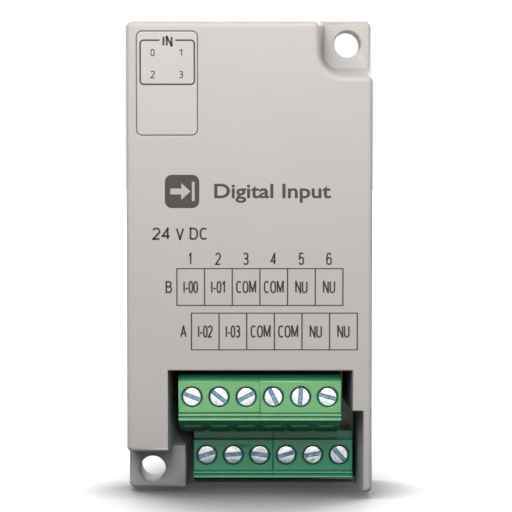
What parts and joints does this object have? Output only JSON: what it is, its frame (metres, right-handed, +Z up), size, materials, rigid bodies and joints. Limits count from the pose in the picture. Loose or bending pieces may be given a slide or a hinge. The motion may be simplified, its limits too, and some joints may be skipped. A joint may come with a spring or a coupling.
{
  "type": "plug-in controller input module",
  "caption": "Slim upright input module for a small controller: grey shell with two screw ears, stepped rows of green screw terminals and a plug connector at the rear.",
  "frame": {"origin": "midway between the two mounting screw holes, on the plane that the two ears seat on", "axes": "+Z up along the module's height, +X to the right seen from the front, +Y to the rear, so the front face looks along -Y"},
  "size_m": [0.0316, 0.02, 0.062],
  "materials": {
    "housing_plastic": "fine moulded texture",
    "window_plastic": "smooth satin",
    "clear_plastic": "clear moulding",
    "board_laminate": "solder mask over laminate",
    "plug_plastic": "moulded",
    "gilt_contact": "plated",
    "terminal_plastic": "satin moulded",
    "tinned_copper": "tin plated",
    "led_resin": "clear resin",
    "chip_resin": "moulded resin",
    "capacitor_can": "drawn can",
    "ceramic": "fired ceramic",
    "resistor_film": "glazed",
    "plated_steel": "zinc plated",
    "cage_metal": "nickel plated"
  },
  "bodies": {
    "module": {"front_housing": "housing_plastic", "status_window": "window_plastic", "light_guide": "clear_plastic", "circuit_board": "board_laminate", "plug_connector_body": "plug_plastic", "plug_contacts": "gilt_contact", "terminal_block_left": "terminal_plastic", "terminal_block_right": "terminal_plastic", "upper_contact_bars": "tinned_copper", "lower_contact_bars": "tinned_copper", "status_leds": "led_resin", "optocouplers": "chip_resin", "interface_ic": "chip_resin", "memory_ic": "chip_resin", "bulk_capacitor": "capacitor_can", "filter_capacitors": "ceramic", "input_resistors": "resistor_film", "protection_diodes": "chip_resin"},
    "clamp_screw_b1": {"screw_b1": "plated_steel"},
    "clamp_cage_b1": {"wire_cage_b1": "cage_metal"},
    "clamp_screw_b2": {"screw_b2": "plated_steel"},
    "clamp_cage_b2": {"wire_cage_b2": "cage_metal"},
    "clamp_screw_b3": {"screw_b3": "plated_steel"},
    "clamp_cage_b3": {"wire_cage_b3": "cage_metal"},
    "clamp_screw_b4": {"screw_b4": "plated_steel"},
    "clamp_cage_b4": {"wire_cage_b4": "cage_metal"},
    "clamp_screw_b5": {"screw_b5": "plated_steel"},
    "clamp_cage_b5": {"wire_cage_b5": "cage_metal"},
    "clamp_screw_b6": {"screw_b6": "plated_steel"},
    "clamp_cage_b6": {"wire_cage_b6": "cage_metal"},
    "clamp_screw_a1": {"screw_a1": "plated_steel"},
    "clamp_cage_a1": {"wire_cage_a1": "cage_metal"},
    "clamp_screw_a2": {"screw_a2": "plated_steel"},
    "clamp_cage_a2": {"wire_cage_a2": "cage_metal"},
    "clamp_screw_a3": {"screw_a3": "plated_steel"},
    "clamp_cage_a3": {"wire_cage_a3": "cage_metal"},
    "clamp_screw_a4": {"screw_a4": "plated_steel"},
    "clamp_cage_a4": {"wire_cage_a4": "cage_metal"},
    "clamp_screw_a5": {"screw_a5": "plated_steel"},
    "clamp_cage_a5": {"wire_cage_a5": "cage_metal"},
    "clamp_screw_a6": {"screw_a6": "plated_steel"},
    "clamp_cage_a6": {"wire_cage_a6": "cage_metal"}
  },
  "joints": [
    {"name": "screw_b1_turn", "type": "hinge", "parent": "module", "child": "clamp_screw_b1", "pos_m": [-0.00742, -0.0118, -0.0177], "axis": [0, 1, 0], "range_deg": [0, 990.2]},
    {"name": "cage_b1_rise", "type": "slide", "parent": "module", "child": "clamp_cage_b1", "axis": [0, -1, 0], "range_m": [0, 0.0011]},
    {"name": "screw_b2_turn", "type": "hinge", "parent": "module", "child": "clamp_screw_b2", "pos_m": [-0.00392, -0.0118, -0.0177], "axis": [0, 1, 0], "range_deg": [0, 990.2]},
    {"name": "cage_b2_rise", "type": "slide", "parent": "module", "child": "clamp_cage_b2", "axis": [0, -1, 0], "range_m": [0, 0.0011]},
    {"name": "screw_b3_turn", "type": "hinge", "parent": "module", "child": "clamp_screw_b3", "pos_m": [-0.00042, -0.0118, -0.0177], "axis": [0, 1, 0], "range_deg": [0, 990.2]},
    {"name": "cage_b3_rise", "type": "slide", "parent": "module", "child": "clamp_cage_b3", "axis": [0, -1, 0], "range_m": [0, 0.0011]},
    {"name": "screw_b4_turn", "type": "hinge", "parent": "module", "child": "clamp_screw_b4", "pos_m": [0.00308, -0.0118, -0.0177], "axis": [0, 1, 0], "range_deg": [0, 990.2]},
    {"name": "cage_b4_rise", "type": "slide", "parent": "module", "child": "clamp_cage_b4", "axis": [0, -1, 0], "range_m": [0, 0.0011]},
    {"name": "screw_b5_turn", "type": "hinge", "parent": "module", "child": "clamp_screw_b5", "pos_m": [0.00658, -0.0118, -0.0177], "axis": [0, 1, 0], "range_deg": [0, 990.2]},
    {"name": "cage_b5_rise", "type": "slide", "parent": "module", "child": "clamp_cage_b5", "axis": [0, -1, 0], "range_m": [0, 0.0011]},
    {"name": "screw_b6_turn", "type": "hinge", "parent": "module", "child": "clamp_screw_b6", "pos_m": [0.01008, -0.0118, -0.0177], "axis": [0, 1, 0], "range_deg": [0, 990.2]},
    {"name": "cage_b6_rise", "type": "slide", "parent": "module", "child": "clamp_cage_b6", "axis": [0, -1, 0], "range_m": [0, 0.0011]},
    {"name": "screw_a1_turn", "type": "hinge", "parent": "module", "child": "clamp_screw_a1", "pos_m": [-0.00567, -0.0045, -0.0262], "axis": [0, 1, 0], "range_deg": [0, 990.2]},
    {"name": "cage_a1_rise", "type": "slide", "parent": "module", "child": "clamp_cage_a1", "axis": [0, -1, 0], "range_m": [0, 0.0011]},
    {"name": "screw_a2_turn", "type": "hinge", "parent": "module", "child": "clamp_screw_a2", "pos_m": [-0.00217, -0.0045, -0.0262], "axis": [0, 1, 0], "range_deg": [0, 990.2]},
    {"name": "cage_a2_rise", "type": "slide", "parent": "module", "child": "clamp_cage_a2", "axis": [0, -1, 0], "range_m": [0, 0.0011]},
    {"name": "screw_a3_turn", "type": "hinge", "parent": "module", "child": "clamp_screw_a3", "pos_m": [0.00133, -0.0045, -0.0262], "axis": [0, 1, 0], "range_deg": [0, 990.2]},
    {"name": "cage_a3_rise", "type": "slide", "parent": "module", "child": "clamp_cage_a3", "axis": [0, -1, 0], "range_m": [0, 0.0011]},
    {"name": "screw_a4_turn", "type": "hinge", "parent": "module", "child": "clamp_screw_a4", "pos_m": [0.00483, -0.0045, -0.0262], "axis": [0, 1, 0], "range_deg": [0, 990.2]},
    {"name": "cage_a4_rise", "type": "slide", "parent": "module", "child": "clamp_cage_a4", "axis": [0, -1, 0], "range_m": [0, 0.0011]},
    {"name": "screw_a5_turn", "type": "hinge", "parent": "module", "child": "clamp_screw_a5", "pos_m": [0.00833, -0.0045, -0.0262], "axis": [0, 1, 0], "range_deg": [0, 990.2]},
    {"name": "cage_a5_rise", "type": "slide", "parent": "module", "child": "clamp_cage_a5", "axis": [0, -1, 0], "range_m": [0, 0.0011]},
    {"name": "screw_a6_turn", "type": "hinge", "parent": "module", "child": "clamp_screw_a6", "pos_m": [0.01183, -0.0045, -0.0262], "axis": [0, 1, 0], "range_deg": [0, 990.2]},
    {"name": "cage_a6_rise", "type": "slide", "parent": "module", "child": "clamp_cage_a6", "axis": [0, -1, 0], "range_m": [0, 0.0011]}
  ],
  "couplings": [
    {"joint": "screw_b1_turn", "follows": "cage_b1_rise", "rad_per_m": 15708},
    {"joint": "screw_b2_turn", "follows": "cage_b2_rise", "rad_per_m": 15708},
    {"joint": "screw_b3_turn", "follows": "cage_b3_rise", "rad_per_m": 15708},
    {"joint": "screw_b4_turn", "follows": "cage_b4_rise", "rad_per_m": 15708},
    {"joint": "screw_b5_turn", "follows": "cage_b5_rise", "rad_per_m": 15708},
    {"joint": "screw_b6_turn", "follows": "cage_b6_rise", "rad_per_m": 15708},
    {"joint": "screw_a1_turn", "follows": "cage_a1_rise", "rad_per_m": 15708},
    {"joint": "screw_a2_turn", "follows": "cage_a2_rise", "rad_per_m": 15708},
    {"joint": "screw_a3_turn", "follows": "cage_a3_rise", "rad_per_m": 15708},
    {"joint": "screw_a4_turn", "follows": "cage_a4_rise", "rad_per_m": 15708},
    {"joint": "screw_a5_turn", "follows": "cage_a5_rise", "rad_per_m": 15708},
    {"joint": "screw_a6_turn", "follows": "cage_a6_rise", "rad_per_m": 15708}
  ]
}
